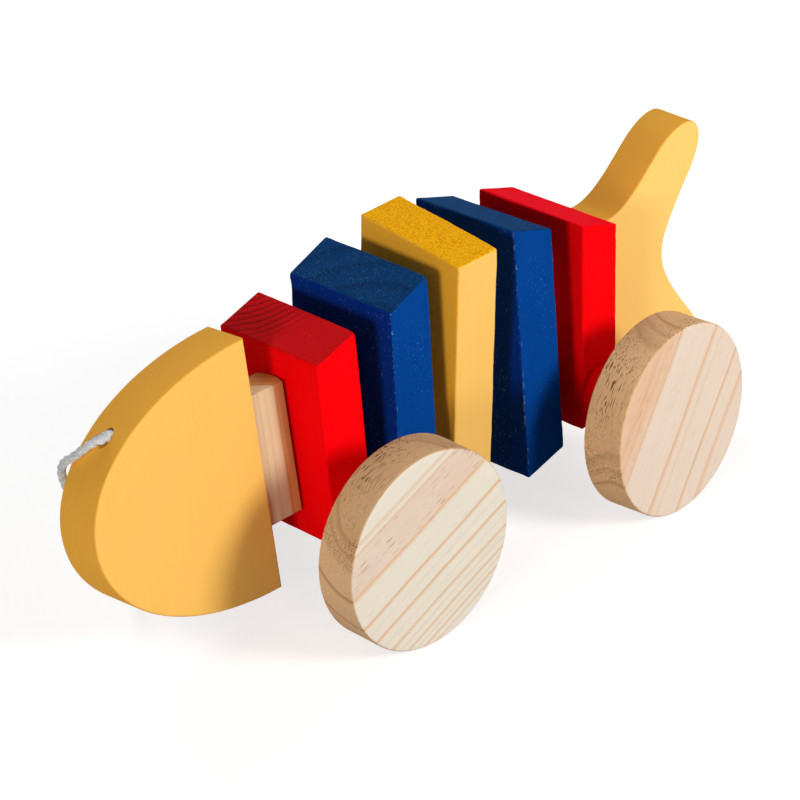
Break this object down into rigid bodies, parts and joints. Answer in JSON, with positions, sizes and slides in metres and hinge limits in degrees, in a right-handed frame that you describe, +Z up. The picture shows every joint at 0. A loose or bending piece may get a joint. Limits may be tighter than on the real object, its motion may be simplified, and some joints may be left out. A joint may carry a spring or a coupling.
{
  "type": "articulated wooden fish",
  "caption": "Pull-along wooden fish: painted head, body blocks and forked tail swing sideways in a chain, rolling on pine wheels fixed to their axles, with a cotton pull cord",
  "frame": {"origin": "on the floor under the middle of the toy's own box, the pull cord left out", "axes": "+X from the head to the tail, +Y to the fish's right side, +Z up"},
  "size_m": [0.2844, 0.1752, 0.1157],
  "materials": {
    "yellow_paint": "matte painted",
    "amber_paint": "matte painted end grain",
    "red_paint": "matte painted",
    "blue_paint": "matte painted",
    "raw_pine": "raw sanded",
    "cotton": "twisted cotton"
  },
  "bodies": {
    "middle_yellow": {"middle_yellow_block": "amber_paint", "middle_yellow_spacer": "raw_pine", "body_cord": "cotton"},
    "front_blue": {"front_blue_block": "blue_paint", "front_blue_spacer": "raw_pine"},
    "front_red": {"front_red_block": "red_paint", "front_red_spacer": "raw_pine", "front_left_hub": "red_paint", "front_right_hub": "red_paint", "pull_cord_coil": "cotton", "pull_cord_tie": "cotton", "pull_cord_knot": "cotton"},
    "front_wheels": {"front_axle": "raw_pine", "front_left_wheel": "raw_pine", "front_right_wheel": "raw_pine"},
    "head": {"head_board": "yellow_paint", "neck_spacer": "raw_pine", "body_cord_head_knot": "cotton", "pull_cord": "cotton"},
    "rear_blue": {"rear_blue_block": "blue_paint", "rear_blue_spacer": "raw_pine"},
    "rear_red": {"rear_red_block": "red_paint", "rear_red_spacer": "raw_pine", "rear_left_hub": "red_paint", "rear_right_hub": "red_paint"},
    "rear_wheels": {"rear_axle": "raw_pine", "rear_left_wheel": "raw_pine", "rear_right_wheel": "raw_pine"},
    "tail": {"tail_board": "yellow_paint", "body_cord_tail_knot": "cotton"}
  },
  "joints": [
    {"name": "front_blue_swing", "type": "hinge", "parent": "middle_yellow", "child": "front_blue", "pos_m": [-0.01016, -0.00071, 0.06098], "axis": [-0.0366, -0.0044, 0.9993], "range_deg": [-12, 12], "deforming": ["body_cord"]},
    {"name": "front_red_swing", "type": "hinge", "parent": "front_blue", "child": "front_red", "pos_m": [-0.03869, -0.0014, 0.05993], "axis": [-0.0522, 0.0179, 0.9985], "range_deg": [-12, 12], "deforming": ["body_cord"]},
    {"name": "head_swing", "type": "hinge", "parent": "front_red", "child": "head", "pos_m": [-0.06989, -0.00443, 0.05836], "axis": [-0.051, 0.0833, 0.9952], "range_deg": [-16, 16], "deforming": ["body_cord", "pull_cord"]},
    {"name": "rear_blue_swing", "type": "hinge", "parent": "middle_yellow", "child": "rear_blue", "pos_m": [0.02026, -0.0014, 0.06215], "axis": [-0.0405, -0.1019, 0.994], "range_deg": [-12, 12], "deforming": ["body_cord"]},
    {"name": "rear_red_swing", "type": "hinge", "parent": "rear_blue", "child": "rear_red", "pos_m": [0.05, -0.0016, 0.06277], "axis": [-0.0206, 0.0403, 0.999], "range_deg": [-12, 12], "deforming": ["body_cord"]},
    {"name": "tail_swing", "type": "hinge", "parent": "rear_red", "child": "tail", "pos_m": [0.07998, -0.00009, 0.06293], "axis": [-0.0044, -0.016, 0.9999], "range_deg": [-12, 27], "deforming": ["body_cord"]},
    {"name": "front_wheels_spin", "type": "hinge", "parent": "front_red", "child": "front_wheels", "pos_m": [-0.0445, -0.00178, 0.035], "axis": [0.0087, 1, 0], "continuous": true},
    {"name": "rear_wheels_spin", "type": "hinge", "parent": "rear_red", "child": "rear_wheels", "pos_m": [0.07301, 0, 0.035], "axis": [-0.0889, 0.996, 0], "continuous": true}
  ]
}
